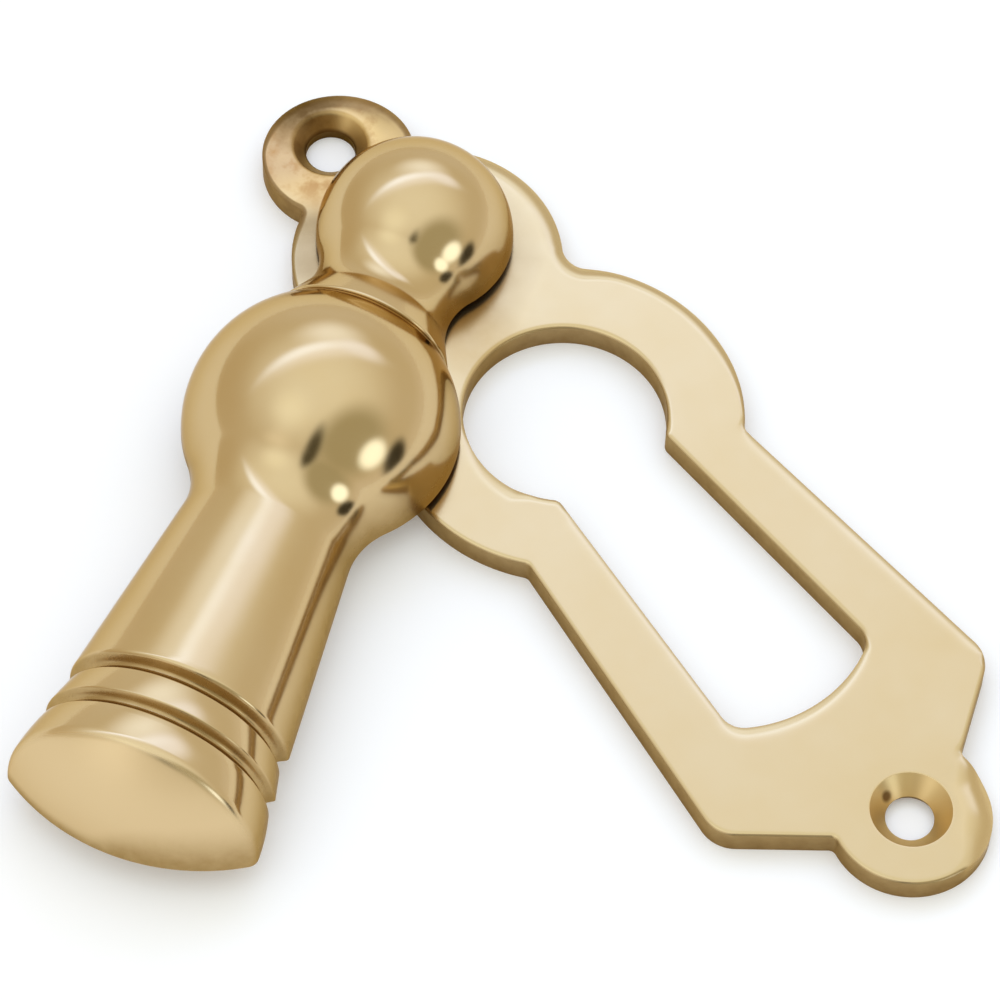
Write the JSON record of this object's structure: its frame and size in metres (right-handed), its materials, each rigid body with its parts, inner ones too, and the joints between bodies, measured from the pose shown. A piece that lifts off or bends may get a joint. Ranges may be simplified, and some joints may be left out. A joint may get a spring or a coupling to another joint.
{
  "type": "covered keyhole escutcheon",
  "caption": "Cast brass keyhole escutcheon: a lobed backplate with countersunk ears, and a half-round ball and trumpet cover that swings on a rivet to hide the keyhole.",
  "frame": {"origin": "midway between the two screw holes, on the backplate's back face", "axes": "+Z out of the front, +Y towards the ear beside the pivot, +X to the right as seen from the front"},
  "size_m": [0.0593, 0.0758, 0.0122],
  "materials": {
    "backplate_brass": "satin polished face, unpolished edges",
    "cover_brass": "mirror polished",
    "rivet_brass": "as peened"
  },
  "bodies": {
    "fixed_plate": {"backplate": "backplate_brass"},
    "swinging_cover": {"cover": "cover_brass", "pivot_rivet": "rivet_brass"}
  },
  "joints": [
    {"name": "cover_swing", "type": "hinge", "parent": "fixed_plate", "child": "swinging_cover", "pos_m": [0, 0.02275, 0], "axis": [0, 0, 1], "continuous": true}
  ]
}
